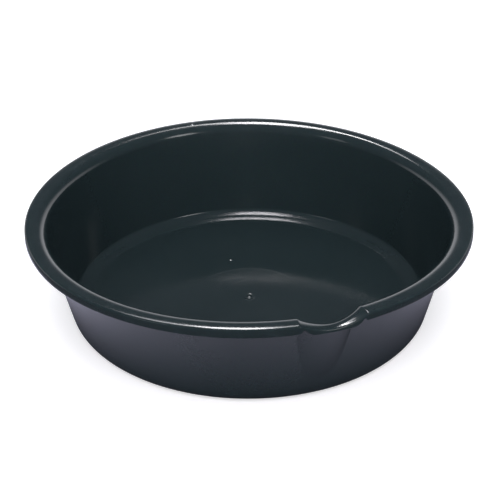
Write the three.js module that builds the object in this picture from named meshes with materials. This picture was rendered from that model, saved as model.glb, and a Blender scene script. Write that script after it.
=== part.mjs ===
// Round oil drain pan: a single injection-moulded basin with a rolled rim flange and a pour spout.
// Millimetres, +Z up. The origin is on the resting plane, under the centre of the floor.
// The spout points along -Y. Angles round the pan are in degrees, from -Y towards +X.
import * as THREE from 'three';
import { mergeVertices } from 'three/addons/utils/BufferGeometryUtils.js';

const { clamp, degToRad, lerp } = THREE.MathUtils;

// ---- rim ----------------------------------------------------------------------------------
const RIM_RADIUS = 184;        // outer radius of the flange, at its skirt
const RIM_EDGE_Z = 81.3;       // height of the skirt's free edge
const RIM_TOP_Z = 88.1;        // mean height of the top of the rolled rim
const RIM_BOW = 1.67;          // the rim stands this much high over the spout and opposite it,
                               // and as much low at the two sides, as the moulding cools
const RIM_BOW_START_Z = 10;    // the bow grows from nothing here,
const RIM_BOW_FULL_Z = 80;     // to its full height here
const SKIRT_T = 2;             // thickness of the skirt at its free edge
const SKIRT_CHAMFER = 0.4;     // broken corners of the free edge
const SKIRT_LEAN = 0.15;       // the top of the skirt lies this far inside its lower edge

// ---- wall ---------------------------------------------------------------------------------
const WALL_T = 2.2;            // moulded wall thickness
const BASE_RADIUS = 148.9;     // outer wall carried down to the resting plane, before the fillet
const WALL_TOP_Z = 79.5;       // where the wall turns into the rim
const WALL_SLOPE = 0.2181;     // outward draft of the wall, radius per height
const WALL_BOW = 0.6;          // outward bow of the wall at half height
const WALL_ROWS = [14.5, 22, 27, 35, 46, 58, 70];  // heights of the points on both skins
const WALL_SHIFT_POWER = 3;    // how late the wall leans over to meet the start of the rim

// ---- base and floor -----------------------------------------------------------------------
const BASE_FILLET = 12.6;      // outer fillet between wall and base
const FILLET_SLOPE_Z = 6;      // the fillet meets the wall's slope at this height
const FILLET_STEPS = 4;
const FOOT_INNER_R = 122;      // inner edge of the ring that the pan rests on
const RECESS_Z = 1.2;          // shallow recess inside that ring
const RECESS_RUN = 1.2;        // width of the slope between them
const FLOOR_Z = 3.6;           // top of the floor
const SHOULDER_R = 134.6;      // the floor starts to rise to the wall here
const SHOULDER = [[2.8, 0.38], [6.4, 1.62]]; // low shoulder: steps outward and up from there
const SHOULDER_RISE = 4.04;    // the floor has risen this much where the corner starts
const SHOULDER_END_DEG = 23.7; // its slope there
const CORNER_R = 4.2;          // tight inner corner between floor and wall
const CORNER_SLOPE_Z = 11;     // the corner ends on the slope that the wall has at this height
const CORNER_STEPS = 3;
const DISC_R = 46;             // faint round disc in the floor
const DISC_RUN = 0.5;          // width of its sloping edge
const DISC_Z = 3.5;
const GATE_DIMPLE_R = 4.4;     // dimple round the gate nub
const GATE_DIMPLE_RUN = 0.4;   // width of its sloping edge
const GATE_DIMPLE_Z = 3.3;
const GATE_R = 1.5;            // injection gate nub in the middle of the floor
const GATE_TAPER = 0.3;        // the nub is this much wider at its foot and narrower at its top
const GATE_TOP_Z = 4;
const GATE_CROWN = 0.1;        // rise of the nub's top from its edge to its middle

// ---- spout --------------------------------------------------------------------------------
const SPOUT_HALF_DEG = 8.3;    // half angle of the spout at the rim
const SPOUT_APEX_Z = 21.5;     // height at which the spout starts to leave the wall
const SPOUT_OUT = 9.3;         // how far the spout pushes the top of the wall out
const SPOUT_POWER = 1.9;       // roundness of the spout across its width
const SPOUT_TAPER = 0.28;      // how quickly the spout widens above its apex
const LIP_Z = 81.6;            // top of the lip at the middle of the spout
const LIP_EDGE_Z = 78.5;       // its lower edge
const LIP_HALF_DEG = 4.6;      // the lower edge is level this far to each side,
const NOTCH_DEG = 7.1;         // then rises to a notch here,
const NOTCH_Z = 83.4;          // this high,
const SKIRT_END_DEG = 7.5;     // where the skirt's end begins,
const SKIRT_FULL_DEG = 8.1;    // and it has its full depth from here on

// Spans of columns round the pan, each from the end of the one before: [end angle, columns].
const FIRST_COLUMN_DEG = -SPOUT_HALF_DEG;
const COLUMN_SPANS = [
  [-SKIRT_FULL_DEG, 1], [-SKIRT_END_DEG, 1], [-NOTCH_DEG, 1], [NOTCH_DEG, 16],
  [SKIRT_END_DEG, 1], [SKIRT_FULL_DEG, 1], [SPOUT_HALF_DEG, 1],
  [90, 16], [180, 18], [270, 18], [360 - SPOUT_HALF_DEG, 16],
];

// ---- wall and spout shape -----------------------------------------------------------------
function outerRadius(z) {
  const share = z / WALL_TOP_Z;
  return BASE_RADIUS + WALL_SLOPE * z + WALL_BOW * 4 * share * (1 - share);
}

const innerRadius = z => outerRadius(z) - WALL_T * Math.hypot(1, WALL_SLOPE);

// Angle of the bowed wall above the horizontal, in radians.
function wallAngle(z) {
  const slope = WALL_SLOPE + 4 * WALL_BOW / WALL_TOP_Z * (1 - 2 * z / WALL_TOP_Z);
  return Math.atan2(1, slope);
}

// Share of the spout's full push: a tapering half cone, from nothing at the apex.
function spoutShare(deg, z) {
  const rise = clamp((z - SPOUT_APEX_Z) / (WALL_TOP_Z - SPOUT_APEX_Z), 0, 1);
  if (rise === 0) return 0;
  const across = Math.abs(deg) / (SPOUT_HALF_DEG * rise ** SPOUT_TAPER);
  return across >= 1 ? 0 : rise * (1 - across ** SPOUT_POWER);
}

// Lower edge of the rim: level under the lip, a notch at each side of it, then the skirt.
function lowerEdge(deg) {
  const side = Math.abs(deg);
  if (side <= NOTCH_DEG) {
    const share = clamp((side - LIP_HALF_DEG) / (NOTCH_DEG - LIP_HALF_DEG), 0, 1);
    return lerp(LIP_EDGE_Z, NOTCH_Z, share ** 2);
  }
  const share = clamp((side - SKIRT_END_DEG) / (SKIRT_FULL_DEG - SKIRT_END_DEG), 0, 1);
  return lerp(NOTCH_Z, RIM_EDGE_Z, share);
}

// ---- rim shape ----------------------------------------------------------------------------
// A chain of arcs that all turn the same way, from the wall's direction over the top and down
// the skirt. Each arc is [radius, end direction in degrees, number of points].
function arcChain(startDeg, arcs) {
  const points = [{ r: 0, z: 0, direction: degToRad(startDeg) }];
  for (const [radius, endDeg, count] of arcs) {
    const start = points[points.length - 1];
    for (let i = 1; i <= count; i++) {
      const direction = lerp(start.direction, degToRad(endDeg), i / count);
      points.push({
        r: start.r + radius * (Math.sin(start.direction) - Math.sin(direction)),
        z: start.z + radius * (Math.cos(direction) - Math.cos(start.direction)),
        direction,
      });
    }
  }
  return points;
}
const FLANGE = arcChain(79, [[10.3, 10, 4], [24, -10, 4], [1.76, -88, 4]]);
const LIP = arcChain(70, [[5, 10, 4], [15.3, -10, 4], [1.76, -88, 4]]);
const UNDERSIDE_POINTS = [0, 2, 4, 6, 8];  // points of the chain that are offset to the underside

const topOf = chain => Math.max(...chain.map(point => point.z));

// Upper skin of the rim, blended from flange to lip. Its top is set to the wanted height, and
// its end to the flange radius.
function rimChain(lipShare) {
  const blend = (key, i) => lerp(FLANGE[i][key], LIP[i][key], lipShare);
  const startR = RIM_RADIUS - SKIRT_LEAN - blend('r', FLANGE.length - 1);
  const startZ = lerp(RIM_TOP_Z - topOf(FLANGE), LIP_Z - topOf(LIP), lipShare);
  return FLANGE.map((_, i) => ({
    r: startR + blend('r', i),
    z: startZ + blend('z', i),
    direction: blend('direction', i),
  }));
}

// ---- parts of the section, as [radius, z] points ------------------------------------------
// Underside, from the centre out and up the outer fillet.
function baseUnderside() {
  const points = [[0, RECESS_Z], [FOOT_INNER_R - RECESS_RUN, RECESS_Z], [FOOT_INNER_R, 0]];
  const endAngle = wallAngle(FILLET_SLOPE_Z);
  const wallFootR = outerRadius(FILLET_SLOPE_Z) - FILLET_SLOPE_Z / Math.tan(endAngle);
  const startR = wallFootR - BASE_FILLET / Math.tan((Math.PI - endAngle) / 2);
  for (let i = 0; i <= FILLET_STEPS; i++) {
    const angle = endAngle * i / FILLET_STEPS;
    points.push([
      startR + BASE_FILLET * Math.sin(angle),
      BASE_FILLET * (1 - Math.cos(angle)),
    ]);
  }
  return points;
}

// Underside of the rim: the upper skin offset by the wall thickness.
function rimUnderside(rim) {
  return UNDERSIDE_POINTS.map(i => {
    const { r, z, direction } = rim[i];
    return [r + WALL_T * Math.sin(direction), z - WALL_T * Math.cos(direction)];
  });
}

// Free edge of the skirt, from its inner face to its outer one.
function skirtEdge(edgeZ) {
  const innerFace = RIM_RADIUS - SKIRT_T;
  return [
    [innerFace, edgeZ + SKIRT_CHAMFER],
    [innerFace + SKIRT_CHAMFER, edgeZ],
    [RIM_RADIUS - SKIRT_CHAMFER, edgeZ],
    [RIM_RADIUS, edgeZ + SKIRT_CHAMFER],
  ];
}

// Inner corner, from the wall down to the shoulder.
function innerCorner() {
  const high = wallAngle(CORNER_SLOPE_Z);
  const low = degToRad(SHOULDER_END_DEG);
  const startZ = FLOOR_Z + SHOULDER_RISE;
  const endZ = startZ + CORNER_R * (Math.cos(low) - Math.cos(high));
  const startR = innerRadius(endZ) - CORNER_R * (Math.sin(high) - Math.sin(low));
  const points = [];
  for (let i = CORNER_STEPS; i >= 0; i--) {
    const angle = lerp(low, high, i / CORNER_STEPS);
    points.push([
      startR + CORNER_R * (Math.sin(angle) - Math.sin(low)),
      startZ + CORNER_R * (Math.cos(low) - Math.cos(angle)),
    ]);
  }
  return points;
}

// Top of the floor, from the shoulder in over the disc, the gate dimple and the gate nub.
function floorTop() {
  return [
    ...SHOULDER.map(([out, up]) => [SHOULDER_R + out, FLOOR_Z + up]).reverse(),
    [SHOULDER_R, FLOOR_Z],
    [DISC_R + DISC_RUN, FLOOR_Z],
    [DISC_R, DISC_Z],
    [GATE_DIMPLE_R + GATE_DIMPLE_RUN, DISC_Z],
    [GATE_DIMPLE_R, GATE_DIMPLE_Z],
    [GATE_R + GATE_TAPER, GATE_DIMPLE_Z],
    [GATE_R - GATE_TAPER, GATE_TOP_Z - GATE_CROWN],
    [0, GATE_TOP_Z],
  ];
}

// Full section at an angle: from the base centre, up the outside, over, and back in.
function section(deg) {
  const lipShare = spoutShare(deg, WALL_TOP_Z);
  const rim = rimChain(lipShare);
  // the upper wall leans over so that it closes up on the start of the rim
  const shift = rim[0].r - innerRadius(WALL_TOP_Z) - SPOUT_OUT * lipShare;
  const wall = radiusAt => WALL_ROWS.map(z => [
    radiusAt(z) + SPOUT_OUT * spoutShare(deg, z) + shift * (z / WALL_TOP_Z) ** WALL_SHIFT_POWER,
    z,
  ]);
  const bow = RIM_BOW * Math.cos(2 * degToRad(deg));
  const bowShare = z =>
    clamp((z - RIM_BOW_START_Z) / (RIM_BOW_FULL_Z - RIM_BOW_START_Z), 0, 1) ** 2;

  return [
    ...baseUnderside(),
    ...wall(outerRadius),
    ...rimUnderside(rim),
    ...skirtEdge(lowerEdge(deg)),
    ...rim.map(({ r, z }) => [r, z]).reverse(),
    ...wall(innerRadius).reverse(),
    ...innerCorner(),
    ...floorTop(),
  ].map(([r, z]) => [r, z + bow * bowShare(z)]);
}

// ---- the body -----------------------------------------------------------------------------
// Angles of the columns, gathered at the spout and falling on the two sides and the back.
function columnAngles() {
  const angles = [];
  let from = FIRST_COLUMN_DEG;
  for (const [to, count] of COLUMN_SPANS) {
    for (let i = 0; i < count; i++) angles.push(lerp(from, to, i / count));
    from = to;
  }
  return angles.map(deg => (deg > 180 ? deg - 360 : deg));
}

// Joins shared corners and drops the flat triangles on the axis.
function tidy(geometry) {
  geometry.deleteAttribute('normal');
  geometry.deleteAttribute('uv');
  const merged = mergeVertices(geometry, 1e-4);
  const index = merged.index.array;
  const kept = [];
  for (let i = 0; i < index.length; i += 3) {
    const [a, b, c] = index.slice(i, i + 3);
    if (a !== b && b !== c && c !== a) kept.push(a, b, c);
  }
  merged.setIndex(kept);
  merged.computeVertexNormals();
  return merged;
}

// A lathe supplies the closed ring of faces, about its own Y axis. Each column then takes the
// section that belongs to its angle, and the last column repeats the first.
function panGeometry() {
  const columns = columnAngles();
  const profile = section(180).map(([r, z]) => new THREE.Vector2(r, z));
  const lathe = new THREE.LatheGeometry(profile, columns.length);
  const { position } = lathe.attributes;
  for (let i = 0; i <= columns.length; i++) {
    const deg = columns[i % columns.length];
    const angle = degToRad(deg);
    section(deg).forEach(([r, z], j) => {
      const vertex = i * profile.length + j;
      position.setXYZ(vertex, r * Math.sin(angle), z, r * Math.cos(angle));
    });
  }
  return tidy(lathe).rotateX(Math.PI / 2);
}

const plastic = new THREE.MeshStandardMaterial({
  color: 0x1d2528,
  roughness: 0.32,
  metalness: 0,
});

const pan = new THREE.Mesh(panGeometry(), plastic);
pan.name = 'pan';

const group = new THREE.Group();
group.name = 'oil_drain_pan';
group.add(pan);

export default group;
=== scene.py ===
"""Looks for the round oil drain pan: one black moulding on a pale floor.

The frame is in metres, +Z up, the pan standing on z = 0 about the Z axis, its spout along -Y.
The skin is a dense closed sweep: rows of the section, from the middle of the underside out,
over the rim and back in to the middle of the floor, each row running once round the pan.
The section is worked out in millimetres. It stands for the frame's "pan" node.
"""
import math

import bpy
import numpy as np
from mathutils import Matrix, Vector


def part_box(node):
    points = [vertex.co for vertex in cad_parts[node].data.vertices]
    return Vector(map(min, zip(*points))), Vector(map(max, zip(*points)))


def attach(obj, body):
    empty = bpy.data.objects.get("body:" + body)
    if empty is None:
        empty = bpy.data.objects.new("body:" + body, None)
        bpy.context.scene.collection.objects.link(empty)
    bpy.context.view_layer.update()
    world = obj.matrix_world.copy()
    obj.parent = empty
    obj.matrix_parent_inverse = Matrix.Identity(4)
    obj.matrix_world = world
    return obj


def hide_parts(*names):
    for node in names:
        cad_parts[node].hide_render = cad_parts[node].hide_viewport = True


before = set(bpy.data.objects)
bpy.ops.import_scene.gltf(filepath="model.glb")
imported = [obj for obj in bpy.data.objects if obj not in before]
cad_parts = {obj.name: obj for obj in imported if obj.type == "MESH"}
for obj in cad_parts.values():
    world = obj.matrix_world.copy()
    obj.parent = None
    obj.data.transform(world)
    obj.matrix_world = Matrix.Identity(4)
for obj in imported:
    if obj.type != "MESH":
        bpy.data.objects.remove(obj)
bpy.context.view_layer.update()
node_lo, node_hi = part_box("pan")

# ---- Dimensions, in millimetres and radians ----
MM = 1000.0                                 # millimetres in a metre
NODE_TOP = node_hi.z * MM
RIM_R = (node_hi.y - node_lo.y) / 2 * MM
RIM_BOW = 1.67                              # the rim stands high over the spout and opposite it
BOW_TURN = math.radians(5.9)
RIM_TOP = NODE_TOP - RIM_BOW - 0.12         # mean height of the top of the rim
RIM_INSET = 0.15
SKIRT_EDGE_Z = 81.3
SKIRT_T = 2.0
SKIRT_OUTER_FILLET = 0.6
WALL_T = 2.2
WALL_TOP = 79.5
WALL_SLOPE = 0.2181                         # radius gained per height
WALL_BOW = 0.6
BASE_R = 148.9
BASE_FILLET = 12.6
BASE_FILLET_TOP = 6.0                       # the fillet takes the wall's lean at this height
CORNER_TOP = 11.0                           # and the inner corner at this one
FLOOR_Z = 3.6
SPOUT_HALF = math.radians(8.3)              # half the spout's angle at the top
SPOUT_APEX = 21.5                           # height where the spout starts
SPOUT_OUT = 9.3
SPOUT_POWER = 1.9
SPOUT_TAPER = 0.28
SPOUT_CREASE = 0.022                        # softness of the creases beside the spout
LIP_Z = 81.6
LIP_EDGE_Z = 78.6
NOTCH_Z = 83.4                              # top of the notch at each side of the lip
PIP_PLACE, PIP_ANGLE = 65.0, math.radians(175.0)
PIP_R, PIP_H = 1.7, 0.3
NIB_PLACE, NIB_ANGLE = 177.0, math.radians(177.6)
NIB_H = 0.5

# columns round the pan, in degrees from the spout towards +X: from, to, step
COLUMN_SPANS = [
    (-12.0, -8.4, 0.24), (-8.4, -6.8, 0.1), (-6.8, 6.8, 0.25), (6.8, 8.4, 0.1),
    (8.4, 12.0, 0.24), (12.0, 175.6, 1.0), (175.6, 179.6, 0.2), (179.6, 348.0, 1.0),
]

# underside, from the middle out to the foot ring: radius, height
UNDERSIDE = [
    (0, 1.2), (20, 1.2), (60, 1.2), (100, 1.2), (118, 1.2), (119.4, 1.16), (120.3, 0.95),
    (121.0, 0.5), (121.8, 0.14), (122.8, 0.0), (131, 0.0),
]
# shoulder round the floor, from the floor out: radius, slope in degrees
SHOULDER = [
    (134.6, 0.0), (136.4, 9.0), (137.8, 20.6), (140.6, 21.0),
    (141.8, 18.2), (142.8, 18.6), (143.8, 22.9), (146.9, 23.7),
]
# rows of the flat floor: radius
FLAT_FLOOR = [
    116, 104, 92, 80, 72, 68, 67, 66.4, 65.9, 65.4, 64.9, 64.4, 63.9, 63.4, 62.6, 60, 53, 48.5,
]
# middle of the floor, with its small ring groove and centre bump: radius, height above the floor
FLOOR_MIDDLE = [
    (47.4, -0.01), (46.3, -0.03), (45.2, -0.04), (36, -0.04), (24, -0.04), (13, -0.04),
    (7, -0.04), (5.4, -0.06), (4.8, -0.12), (4.2, -0.22), (3.5, -0.29), (2.7, -0.31),
    (2.1, -0.26), (1.75, -0.08), (1.5, 0.12), (1.2, 0.28), (0.8, 0.37), (0.4, 0.4), (0.0, 0.4),
]

# ---- Camera ----
CAMERA_AZIMUTH = math.radians(-19.6)
CAMERA_ELEVATION = 0.492896
CAMERA_PITCH = CAMERA_ELEVATION + 0.024949  # downwards
CAMERA_ROLL = 0.006224
CAMERA_DISTANCE = 1.085675                  # metres, from a point on the pan's axis
CAMERA_PIVOT_Z = 0.0805
CAMERA_SENSOR, CAMERA_LENS = 36, 94.305096
CAMERA_SHIFT_X = 0.0017984
forward = Vector((-math.sin(CAMERA_AZIMUTH), math.cos(CAMERA_AZIMUTH), 0))  # level, to the pan
right = Vector((math.cos(CAMERA_AZIMUTH), math.sin(CAMERA_AZIMUTH), 0))

# ---- Lights and surroundings ----
# name, azimuth (0 behind the pan, positive to the camera's right), elevation, angular width
# (all degrees), radiance, tint, seen in mirrored light, lights matt surfaces
LAMPS = [
    ("back_low", -4, 51, 8, 26.0, (1.0, 0.98, 1.0), True, False),
    ("back_mid", -4, 60, 10, 24.0, (1.0, 0.98, 1.0), True, False),
    ("back_top", -5, 71, 11.5, 30.0, (1.0, 0.97, 1.02), True, False),
    ("back_wing", -14, 50, 10, 6.5, (1.0, 0.98, 1.02), True, False),
    ("back_right", 5, 54, 8, 7.0, (1.0, 0.98, 1.0), True, False),
    ("side_right", 138, 33, 15, 5.5, (1.0, 0.99, 1.0), True, False),
    ("side_left", -127, 33, 15, 1.2, (1.0, 0.99, 1.02), True, False),
    ("fill_back", -5, 62, 60, 1.0, (1.0, 1.0, 1.05), False, True),
    ("fill_front", 180, 38, 70, 2.25, (1.03, 1.0, 1.04), False, True),
    ("fill_top", 180, 80, 50, 1.7, (1.0, 1.0, 1.04), False, True),
]
SHEET_HALF = 6.0                            # metres
SHEET_COLOR = (0.86, 0.86, 0.87, 1)         # as the camera sees it
SHEET_GLOW = 0.48
# what the pan mirrors of the sheet, with painted shadow round its foot, painted light to the
# camera's left and painted shade further out; distances from the pan's axis in metres
SHEET_MIRRORED = (0.77, 0.755, 0.92)
# painted shade: further out, the sheet the pan mirrors turns dark
SHEET_BEYOND = (0.10, 0.105, 0.12, 1)
SHEET_END = (0.222, 0.262)                  # the pale part fades into the painted shade here
# painted shadow round the pan's foot, only in what the pan mirrors
FOOT_SHADE, FOOT_SHADE_REACH = 0.12, (0.152, 0.206)
# painted light on the sheet to the camera's left, only in what the pan mirrors
LEFT_PAINTED_LIGHT, LEFT_PAINTED_LIGHT_REACH = 1.7, (0.02, 0.2)
BAND_TOP, BAND_SOFT = 17, 6                 # degrees above the horizon
BAND_COLOR = (1.2, 1.2, 1.26, 1)
BAND_SIDES = (0.40, -0.10)                  # fades out as the direction turns to the camera
ROOM_COLOR = (0.10, 0.112, 0.13, 1)


# ---- Curves ----
def outer_r(z):
    share = z / WALL_TOP
    return BASE_R + WALL_SLOPE * z + WALL_BOW * 4 * share * (1 - share)


def inner_r(z):
    return outer_r(z) - WALL_T * math.hypot(1, WALL_SLOPE)


def wall_lean(z):
    """Radius per height of the wall at height z."""
    return WALL_SLOPE + 4 * WALL_BOW / WALL_TOP * (1 - 2 * z / WALL_TOP)


def bell(x, centre, width):
    return np.exp(-(((x - centre) / width) ** 2))


def smooth_step(x):
    x = np.clip(x, 0, 1)
    return x * x * (3 - 2 * x)


def soft_positive(x, reach):
    """max(x, 0) with its corner rounded over -reach..reach."""
    rounded = (x + reach) ** 2 / (4 * reach)
    return np.where(x >= reach, x, np.where(x <= -reach, 0.0, rounded))


def arc_chain(start_degrees, arcs):
    """Tangent arcs (radius, end direction, segments) as rows of (r, z, direction)."""
    points = [(0.0, 0.0, math.radians(start_degrees))]
    for radius, end_degrees, segments in arcs:
        r, z, start = points[-1]
        end = math.radians(end_degrees)
        for i in range(1, segments + 1):
            turn = start + (end - start) * i / segments
            points.append((r + radius * (math.sin(start) - math.sin(turn)),
                           z + radius * (math.cos(turn) - math.cos(start)), turn))
    return np.array(points)


# ---- Columns round the pan: fine at the spout and at the small nib opposite it ----
def spaced(start, stop, step):
    count = max(1, int(round((stop - start) / step)))
    return [start + (stop - start) * i / count for i in range(count)]


angle = np.radians([a for span in COLUMN_SPANS for a in spaced(*span)])
from_spout = (angle + math.pi) % (2 * math.pi) - math.pi   # -pi..pi, 0 at the spout
degrees = np.degrees(from_spout)
COLUMNS = len(angle)


def wave(lobes_a, lobes_b, phase):
    """A slow wave round the pan."""
    return (np.sin(lobes_a * angle + phase) * 0.6
            + np.sin(lobes_b * angle + 1.7 * phase + 0.4) * 0.4)


def spout_share(z):
    """Share of the spout's full push in each column at height z."""
    rise = min(1.0, max(0.0, (z - SPOUT_APEX) / (WALL_TOP - SPOUT_APEX)))
    if rise <= 0:
        return np.zeros(COLUMNS)
    across = np.abs(from_spout) / (SPOUT_HALF * rise ** SPOUT_TAPER)
    return rise * soft_positive(1 - np.minimum(across, 3.0) ** SPOUT_POWER, SPOUT_CREASE)


# ---- Rim: the flange turns into the lip over the spout ----
CREST_IN, CREST, EDGE = 14, 8, 10           # segments of the three arcs
FLANGE = arc_chain(79, [(10.3, 10, CREST_IN), (24.0, -10, CREST), (1.76, -88, EDGE)])
LIP = arc_chain(70, [(5.0, 10, CREST_IN), (15.3, -10, CREST), (1.76, -88, EDGE)])
CREST_END = CREST_IN + CREST

lip_share = spout_share(WALL_TOP)
flange_share = 1 - lip_share
rim_r, rim_z, rim_turn = FLANGE.T[:, :, None] * flange_share + LIP.T[:, :, None] * lip_share
rim_start_z = ((RIM_TOP - FLANGE[:, 1].max()) * flange_share
               + (LIP_Z - LIP[:, 1].max()) * lip_share)
rim_start_r = RIM_R - RIM_INSET - rim_r[-1]
rim_r = rim_start_r + rim_r
rim_z = rim_start_z + rim_z
rim_under_r = rim_r + WALL_T * np.sin(rim_turn)
rim_under_z = rim_z - WALL_T * np.cos(rim_turn)
wall_to_rim = rim_start_r - (inner_r(WALL_TOP) + SPOUT_OUT * lip_share)

# lower edge of the rim: level under the lip, a notch at each side of it, then the skirt
aside = np.abs(degrees)
lip_edge = LIP_EDGE_Z + (NOTCH_Z - LIP_EDGE_Z) * np.clip((aside - 4.6) / 2.5, 0, 1) ** 2
skirt_edge = SKIRT_EDGE_Z - 1.05 * bell(degrees, -21, 20) + 0.5 * bell(degrees, 13, 12)
skirt_edge += 0.8 * (1 - smooth_step((aside - 7.9) / 1.3)) * (degrees < 0)
edge_z = lip_edge + (skirt_edge - lip_edge) * smooth_step((aside - 7.45) / 0.6)

# ---- Rows of the section ----
rows_r, rows_z, row_parts = [], [], []
bow = RIM_BOW * np.cos(2 * (from_spout + BOW_TURN))


def add_row(part, r, z):
    rows_r.append(np.broadcast_to(r, COLUMNS))
    rows_z.append(z + bow * np.clip((z - 10) / 70, 0, 1) ** 2)
    row_parts.append(part)


def wall_push(z):
    """How far the wall at height z stands out from its plain round."""
    sway = 0.16 * wave(3, 5, 0.8) * math.sin(math.pi * min(1, z / WALL_TOP))
    return SPOUT_OUT * spout_share(z) + wall_to_rim * (z / WALL_TOP) ** 3 + sway


# underside, and the fillet up to the wall
for r, z in UNDERSIDE:
    add_row("under", r, z)
lean = wall_lean(BASE_FILLET_TOP)
base_end = math.atan2(1, lean)
foot_r = (outer_r(BASE_FILLET_TOP) - BASE_FILLET_TOP * lean
          - BASE_FILLET / math.tan((math.pi - base_end) / 2))
for i in range(12):
    turn = base_end * i / 11
    add_row("base", foot_r + BASE_FILLET * math.sin(turn), BASE_FILLET * (1 - math.cos(turn)))

# outside of the wall
WALL_ROWS = np.concatenate([
    np.linspace(12.4, 21.5, 4), np.linspace(22.6, 34, 8), np.linspace(36.5, 76.5, 16)])
for z in WALL_ROWS:
    add_row("outer", outer_r(z) + wall_push(z), z)

# underside of the rim, and the skirt's lower edge with its two fillets
for i in range(0, CREST_END + 1, 2):
    add_row("rim_under", rim_under_r[i], rim_under_z[i])
fillet = np.clip(0.8 * (rim_under_z[CREST_END] - edge_z), 0.12, 0.55)
for turn in np.radians([180, 225, 270]):
    add_row("skirt", RIM_R - SKIRT_T + fillet * (1 + math.cos(turn)),
            edge_z + fillet * (1 + math.sin(turn)))
for turn in np.radians([270, 300, 330, 360]):
    add_row("skirt", RIM_R + SKIRT_OUTER_FILLET * (math.cos(turn) - 1),
            edge_z + SKIRT_OUTER_FILLET * (1 + math.sin(turn)))

# top of the rim, then down the inside of the wall
for i in reversed(range(len(FLANGE))):
    add_row("rim", rim_r[i], rim_z[i])
for z in WALL_ROWS[::-1]:
    add_row("inner", inner_r(z) + wall_push(z), z)

# floor edge: a low shoulder from its slopes, and above it a corner that meets the wall
table_r, table_slope = np.array(SHOULDER).T
shoulder_r = np.linspace(table_r[0], table_r[-1], 41)
slope = np.interp(shoulder_r, table_r, np.radians(table_slope))
slope = np.convolve(np.pad(slope, 2, "edge"), [0.1, 0.2, 0.4, 0.2, 0.1], "valid")
mean_grade = (np.tan(slope[1:]) + np.tan(slope[:-1])) / 2
shoulder_z = FLOOR_Z + np.concatenate([[0], np.cumsum(mean_grade * np.diff(shoulder_r))])
corner_start = float(slope[-1])
corner_end = math.atan2(1, wall_lean(CORNER_TOP))


def corner_point(radius, turn):
    return (shoulder_r[-1] + radius * (math.sin(turn) - math.sin(corner_start)),
            shoulder_z[-1] + radius * (math.cos(corner_start) - math.cos(turn)))


def corner_miss(radius):
    """Gap between the end of the corner and the wall."""
    r, z = corner_point(radius, corner_end)
    return abs(r - inner_r(z))


corner_radius = min(np.linspace(2, 12, 401), key=corner_miss)
for i in range(12, 0, -1):
    turn = corner_start + (corner_end - corner_start) * i / 12
    add_row("corner", *corner_point(corner_radius, turn))
for r, z in zip(shoulder_r[::-1], shoulder_z[::-1]):
    add_row("floor", r, z)

# floor
for r in [131, 125] + FLAT_FLOOR:
    add_row("floor", r, FLOOR_Z)
for r, height in FLOOR_MIDDLE:
    add_row("floor", r, FLOOR_Z + height)

R, Z = np.array(rows_r), np.array(rows_z)
X, Y = R * np.sin(angle), -R * np.cos(angle)
parts = np.array(row_parts)

# ---- Moulding waviness and marks ----
# floor: a slow wave that fades out towards the wall and the middle, and a small pip
on_floor = parts == "floor"
fade = np.clip((140 - R) / 40, 0, 1) * np.clip(R / 12, 0, 1)
swell = (0.04 * np.sin(X / 41 + 0.7) * np.cos(Y / 53 - 0.4)
         + 0.012 * np.sin((X - Y) / 24 + 2.1))
pip_distance = np.hypot(X - PIP_PLACE * math.sin(PIP_ANGLE), Y + PIP_PLACE * math.cos(PIP_ANGLE))
pip = PIP_H * np.clip(1 - (pip_distance / PIP_R) ** 2, 0, 1) ** 0.7
Z[on_floor] += (swell * fade + pip)[on_floor]

# rim: a slight wave of the crown, and a little nib
on_rim = parts == "rim"
crown = 0.10 * wave(3, 7, 2.2) * np.clip((Z - 84) / 3, 0, 1) * flange_share
nib_angle = np.abs((from_spout - NIB_ANGLE + math.pi) % (2 * math.pi) - math.pi)
nib = NIB_H * bell(nib_angle * RIM_R, 0, 1.1) * bell(R, NIB_PLACE, 1.6)
Z[on_rim] += (crown + nib)[on_rim]
Z = np.minimum(Z, NODE_TOP - 0.005)


# ---- Closed mesh ----
def skin_mesh(name):
    """Rows and columns as quads, closed by a fan at each end."""
    last = len(R) - 2                       # the first and last rows are single points
    body = np.stack([X[1:-1], Y[1:-1], Z[1:-1]], -1).reshape(-1, 3) / MM
    verts = [(0.0, 0.0, Z[0].mean() / MM), *map(tuple, body), (0.0, 0.0, Z[-1].mean() / MM)]
    top = len(verts) - 1

    def vertex(i, j):
        return 1 + (i - 1) * COLUMNS + j % COLUMNS

    faces = [(0, vertex(1, j), vertex(1, j + 1)) for j in range(COLUMNS)]
    for i in range(1, last):
        for j in range(COLUMNS):
            faces.append((vertex(i, j), vertex(i + 1, j), vertex(i + 1, j + 1), vertex(i, j + 1)))
    faces += [(vertex(last, j), top, vertex(last, j + 1)) for j in range(COLUMNS)]
    mesh = bpy.data.meshes.new(name)
    mesh.from_pydata(verts, [], faces)
    mesh.validate()
    mesh.update()
    mesh.flip_normals()                     # this winding faces inwards
    for polygon in mesh.polygons:
        polygon.use_smooth = True
    return mesh


def add_edge_wear(mesh):
    """A point value on the creases and edges where the plastic is rubbed."""
    row_wear = np.array([{"skirt": 1.0, "base": 0.5}.get(part, 0.0) for part in row_parts])
    rim_rows = np.flatnonzero(on_rim)[::-1]  # from the inner crest out to the skirt
    step = np.arange(len(rim_rows), dtype=float)
    row_wear[rim_rows] = (0.25 + 0.75 * bell(step, CREST_END + 3, 3.0)
                          + 0.4 * bell(step, CREST_IN, 4.0))
    wear = np.zeros(len(mesh.vertices), np.float32)
    wear[1:-1] = np.repeat(row_wear[1:-1], COLUMNS)
    mesh.attributes.new("edge_wear", "FLOAT", "POINT").data.foreach_set("value", wear)


# ---- Shader node helpers; each but fill returns the new node's output ----
def fill(tree, node, inputs):
    """Links the sockets among the inputs and sets the rest as values."""
    for key, value in inputs.items():
        if isinstance(value, bpy.types.NodeSocket):
            tree.links.new(value, node.inputs[key])
        else:
            node.inputs[key].default_value = value


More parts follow.
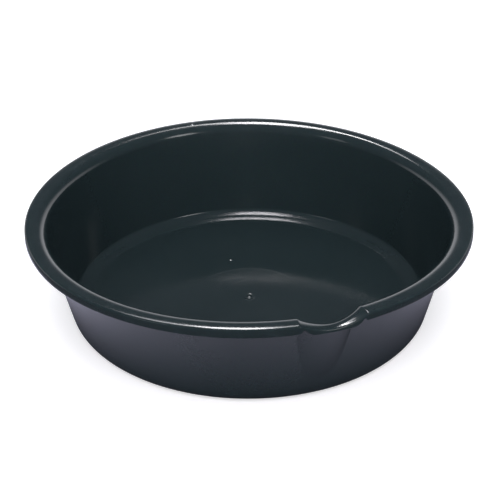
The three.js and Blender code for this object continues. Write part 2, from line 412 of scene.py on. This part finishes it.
def add_node(tree, kind, output, inputs, **settings):
    node = tree.nodes.new("ShaderNode" + kind)
    for key, value in settings.items():
        setattr(node, key, value)
    fill(tree, node, inputs)
    return node.outputs[output]


def noise(tree, vector, scale, detail, roughness, output="Fac"):
    return add_node(tree, "TexNoise", output, {
        "Vector": vector, "Scale": scale, "Detail": detail, "Roughness": roughness})


def mix(tree, factor, a, b, blend="MIX"):
    return add_node(tree, "Mix", "Result", {"Factor": factor, "A": a, "B": b},
                    data_type="RGBA", blend_type=blend)


def map_range(tree, value, source, target=(0.0, 1.0), curve="LINEAR"):
    return add_node(tree, "MapRange", "Result", {
        "Value": value, "From Min": source[0], "From Max": source[1],
        "To Min": target[0], "To Max": target[1]}, interpolation_type=curve)


def calc(tree, operation, *values):
    return add_node(tree, "Math", "Value", dict(enumerate(values)), operation=operation)


def dot(tree, vector, direction):
    return add_node(tree, "VectorMath", "Value", {0: vector, 1: direction},
                    operation="DOT_PRODUCT")


def scaled(tree, vector, scale):
    return add_node(tree, "VectorMath", "Vector", {0: vector, "Scale": scale}, operation="SCALE")


# ---- Materials ----
def plastic(name):
    material = bpy.data.materials.new(name)
    material.use_nodes = True
    tree = material.node_tree
    tree.nodes.clear()
    place = add_node(tree, "TexCoord", "Object", {})

    # colour: faint mottling of the pigment and fine dust in the texture
    mottle = noise(tree, place, scale=14.0, detail=3.0, roughness=0.55)
    dust = noise(tree, place, scale=420.0, detail=2.0, roughness=0.6, output="Color")
    pigment = mix(tree, mottle, a=(0.0120, 0.0200, 0.0218, 1), b=(0.0158, 0.0258, 0.0280, 1))
    color = mix(tree, 0.15, a=pigment, b=dust, blend="OVERLAY")

    # rubbed edges: patchy, a little paler and less polished
    wear = add_node(tree, "Attribute", "Fac", {}, attribute_name="edge_wear")
    blotches = noise(tree, place, scale=85.0, detail=5.0, roughness=0.65)
    rub = calc(tree, "MULTIPLY", wear, map_range(tree, blotches, source=(0.48, 0.68)))
    paleness = calc(tree, "MULTIPLY", rub, 0.40)
    color = mix(tree, paleness, a=color, b=(0.032, 0.045, 0.050, 1))

    # roughness: broad polish differences, long faint scuffs, and the rubbed edges
    polish = noise(tree, place, scale=9.0, detail=4.0, roughness=0.6)
    polish = map_range(tree, polish, source=(0.3, 0.7), target=(0.09, 0.14))
    stretched = add_node(tree, "Mapping", "Vector", {
        "Vector": place, "Scale": (22.0, 260.0, 60.0), "Rotation": (0, 0, 0.5)})
    scuffs = noise(tree, stretched, scale=1.0, detail=3.0, roughness=0.7)
    scuffs = map_range(tree, scuffs, source=(0.60, 0.74), target=(0.0, 0.05))
    roughness = calc(tree, "MULTIPLY_ADD", rub, 0.05, calc(tree, "ADD", polish, scuffs))

    # bump: fine moulded grain
    grain = noise(tree, place, scale=900.0, detail=2.0, roughness=0.5)
    normal = add_node(tree, "Bump", "Normal", {
        "Strength": 0.12, "Distance": 0.0002, "Height": grain})

    surface = add_node(tree, "BsdfPrincipled", "BSDF", {
        "Base Color": color, "Roughness": roughness, "Normal": normal, "IOR": 1.5})
    fill(tree, tree.nodes.new("ShaderNodeOutputMaterial"), {"Surface": surface})
    return material


def white_sheet(name):
    """White to the camera; greyer in what the pan mirrors, with painted shadow round the pan's
    foot, painted light to the camera's left and painted shade further out, so the pan's sides stay
    dark.
    """
    material = bpy.data.materials.new(name)
    material.use_nodes = True
    tree = material.node_tree
    to_camera = add_node(tree, "LightPath", "Is Camera Ray", {})
    place = add_node(tree, "NewGeometry", "Position", {})
    distance = add_node(tree, "VectorMath", "Value", {0: place}, operation="LENGTH")

    # painted shadow round the pan's foot, painted light to the camera's left, and painted shade
    # from a little way out, all only in what the pan mirrors
    foot = map_range(tree, distance, FOOT_SHADE_REACH, target=(FOOT_SHADE, 1.0))
    painted_left_light = map_range(tree, dot(tree, place, -right), LEFT_PAINTED_LIGHT_REACH, target=(1.0, LEFT_PAINTED_LIGHT))
    near = scaled(tree, scaled(tree, SHEET_MIRRORED, foot), painted_left_light)
    ending = map_range(tree, distance, SHEET_END, curve="SMOOTHSTEP")
    mirrored = mix(tree, ending, a=near, b=SHEET_BEYOND)

    fill(tree, tree.nodes["Principled BSDF"], {
        "Roughness": 0.9,
        "Specular IOR Level": 0.1,
        "Base Color": mix(tree, to_camera, a=mirrored, b=SHEET_COLOR),
        "Emission Color": (1, 1, 1, 1),
        "Emission Strength": calc(tree, "MULTIPLY", to_camera, SHEET_GLOW),
    })
    return material


# ---- Pan ----
scene = bpy.context.scene
pan_mesh = skin_mesh("pan_skin")
pan = bpy.data.objects.new("drain_pan_moulding", pan_mesh)
scene.collection.objects.link(pan)
add_edge_wear(pan_mesh)
pan_mesh.materials.append(plastic("black_moulded_plastic"))
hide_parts("pan")
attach(pan, "root")


# ---- Stage ----
def add_floor():
    mesh = bpy.data.meshes.new("floor")
    corners = [(SHEET_HALF * x, SHEET_HALF * y, 0) for x, y in ((-1, -1), (1, -1), (1, 1), (-1, 1))]
    mesh.from_pydata(corners, [], [(0, 1, 2, 3)])
    floor = bpy.data.objects.new("floor", mesh)
    scene.collection.objects.link(floor)
    mesh.materials.append(white_sheet("floor_white"))


def add_world():
    """A dark room, with a pale band along the horizon behind and beside the pan."""
    world = bpy.data.worlds.new("studio")
    scene.world = world
    world.use_nodes = True
    tree = world.node_tree
    direction = add_node(tree, "TexCoord", "Generated", {})
    height = add_node(tree, "SeparateXYZ", "Z", {0: direction})
    band_edge = [math.sin(math.radians(BAND_TOP + soft)) for soft in (-BAND_SOFT, BAND_SOFT)]
    above = map_range(tree, height, band_edge, curve="SMOOTHSTEP")
    camera_side = map_range(tree, dot(tree, direction, forward), BAND_SIDES, curve="SMOOTHSTEP")
    room = mix(tree, calc(tree, "MAXIMUM", above, camera_side), a=BAND_COLOR, b=ROOM_COLOR)
    to_camera = add_node(tree, "LightPath", "Is Camera Ray", {})
    # the camera itself sees plain white
    color = mix(tree, to_camera, a=room, b=(1, 1, 1, 1))
    fill(tree, tree.nodes["Background"], {"Color": color, "Strength": 1.0})


def add_camera():
    eye = (-forward * (CAMERA_DISTANCE * math.cos(CAMERA_ELEVATION))
           + Vector((0, 0, CAMERA_DISTANCE * math.sin(CAMERA_ELEVATION) + CAMERA_PIVOT_Z)))
    look = forward * math.cos(CAMERA_PITCH) - Vector((0, 0, 1)) * math.sin(CAMERA_PITCH)
    up = right.cross(look)
    side = right * math.cos(CAMERA_ROLL) - up * math.sin(CAMERA_ROLL)
    top = right * math.sin(CAMERA_ROLL) + up * math.cos(CAMERA_ROLL)
    data = bpy.data.cameras.new("camera")
    data.sensor_width = CAMERA_SENSOR
    data.lens = CAMERA_LENS
    data.shift_x = CAMERA_SHIFT_X
    camera = bpy.data.objects.new("camera", data)
    axes = [(*axis, 0) for axis in (side, top, -look)]
    camera.matrix_world = Matrix((*axes, (*eye, 1))).transposed()
    scene.collection.objects.link(camera)
    scene.camera = camera


def add_lamp(name, azimuth, elevation, width, radiance, tint, mirrored, matt):
    """A round soft light far away; the columns are those of LAMPS."""
    light = bpy.data.lights.new(name, "SUN")
    light.angle = math.radians(width)
    light.energy = radiance * 2 * math.pi * (1 - math.cos(math.radians(width) / 2))
    light.color = tint
    lamp = bpy.data.objects.new(name, light)
    turn, rise = math.radians(azimuth), math.radians(elevation)
    level = forward * math.cos(turn) + right * math.sin(turn)
    to_lamp = level * math.cos(rise) + Vector((0, 0, math.sin(rise)))
    lamp.rotation_mode = "QUATERNION"
    lamp.rotation_quaternion = (-to_lamp).to_track_quat("-Z", "Y")
    lamp.visible_glossy = mirrored
    lamp.visible_diffuse = matt
    scene.collection.objects.link(lamp)


add_floor()
add_world()
add_camera()
for lamp_values in LAMPS:
    add_lamp(*lamp_values)

scene.view_settings.view_transform = "Standard"
scene.view_settings.look = "None"
scene.view_settings.exposure = 0.0
scene.view_settings.gamma = 1.0
